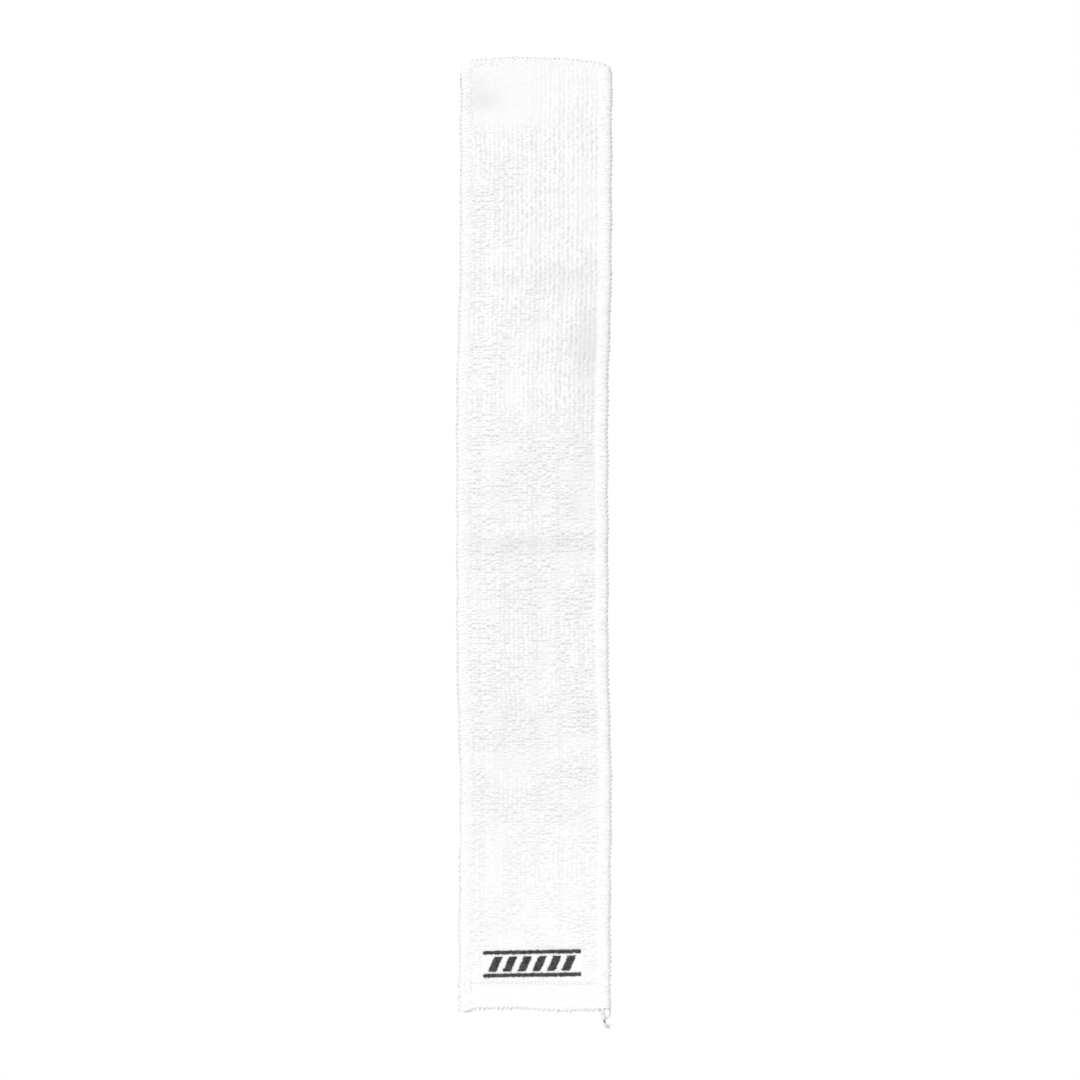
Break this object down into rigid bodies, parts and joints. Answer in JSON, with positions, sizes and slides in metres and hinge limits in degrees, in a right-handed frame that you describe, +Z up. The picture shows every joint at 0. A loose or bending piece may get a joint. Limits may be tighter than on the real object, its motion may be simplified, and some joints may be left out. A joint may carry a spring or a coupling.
{
  "type": "hanging belt towel",
  "caption": "Long narrow white terry towel that hangs from a belt by a folded flap closed with hook-and-loop tape, overlocked all round, with a small embroidered emblem near the hem.",
  "frame": {"origin": "middle of the flap's fold line on the back face, where the belt carries the towel", "axes": "+Z up along the strip towards the flap's end, +X across the strip to the viewer's right, -Y out of the front face"},
  "size_m": [0.1016, 0.005, 0.6474],
  "materials": {
    "terry": "white cotton terry, ribbed loop pile, matte",
    "overlock_thread": "white textured polyester thread, slight sheen",
    "hook_tape": "white nylon hook tape, slightly glossy",
    "loop_tape": "white nylon loop tape, brushed",
    "stitching": "white spun polyester thread",
    "emblem_thread": "dark charcoal rayon embroidery thread, satin stitch",
    "emblem_backing": "white non-woven backing with bobbin thread"
  },
  "bodies": {
    "waist": {"waist_terry": "terry", "waist_overlock_left": "overlock_thread", "waist_overlock_right": "overlock_thread", "loop_tape": "loop_tape", "loop_tape_stitching": "stitching"},
    "flap": {"flap_terry": "terry", "flap_overlock_left": "overlock_thread", "flap_overlock_right": "overlock_thread", "top_end_overlock": "overlock_thread", "hook_tape": "hook_tape", "hook_tape_stitching": "stitching"},
    "upper_streamer": {"upper_terry": "terry", "upper_overlock_left": "overlock_thread", "upper_overlock_right": "overlock_thread"},
    "lower_streamer": {"lower_terry": "terry", "lower_overlock_left": "overlock_thread", "lower_overlock_right": "overlock_thread", "bottom_hem": "terry", "bottom_end_overlock": "overlock_thread", "hem_stitching": "stitching", "thread_tail": "overlock_thread", "emblem_top_rail": "emblem_thread", "emblem_bottom_rail": "emblem_thread", "emblem_bar_1": "emblem_thread", "emblem_bar_2": "emblem_thread", "emblem_bar_3": "emblem_thread", "emblem_bar_4": "emblem_thread", "emblem_bar_5": "emblem_thread", "emblem_bar_6": "emblem_thread", "emblem_backing": "emblem_backing"}
  },
  "joints": [
    {"name": "belt_flap_fold", "type": "hinge", "parent": "waist", "child": "flap", "pos_m": [0, 0.0024, 0], "axis": [-1, 0, 0], "range_deg": [0, 180]},
    {"name": "streamer_swing", "type": "hinge", "parent": "waist", "child": "upper_streamer", "pos_m": [0, -0.0038, -0.075], "axis": [-1, 0, 0], "range_deg": [0, 90]},
    {"name": "mid_crease_fold", "type": "hinge", "parent": "upper_streamer", "child": "lower_streamer", "pos_m": [0, 0.0024, -0.254], "axis": [1, 0, 0], "range_deg": [0, 176]}
  ]
}
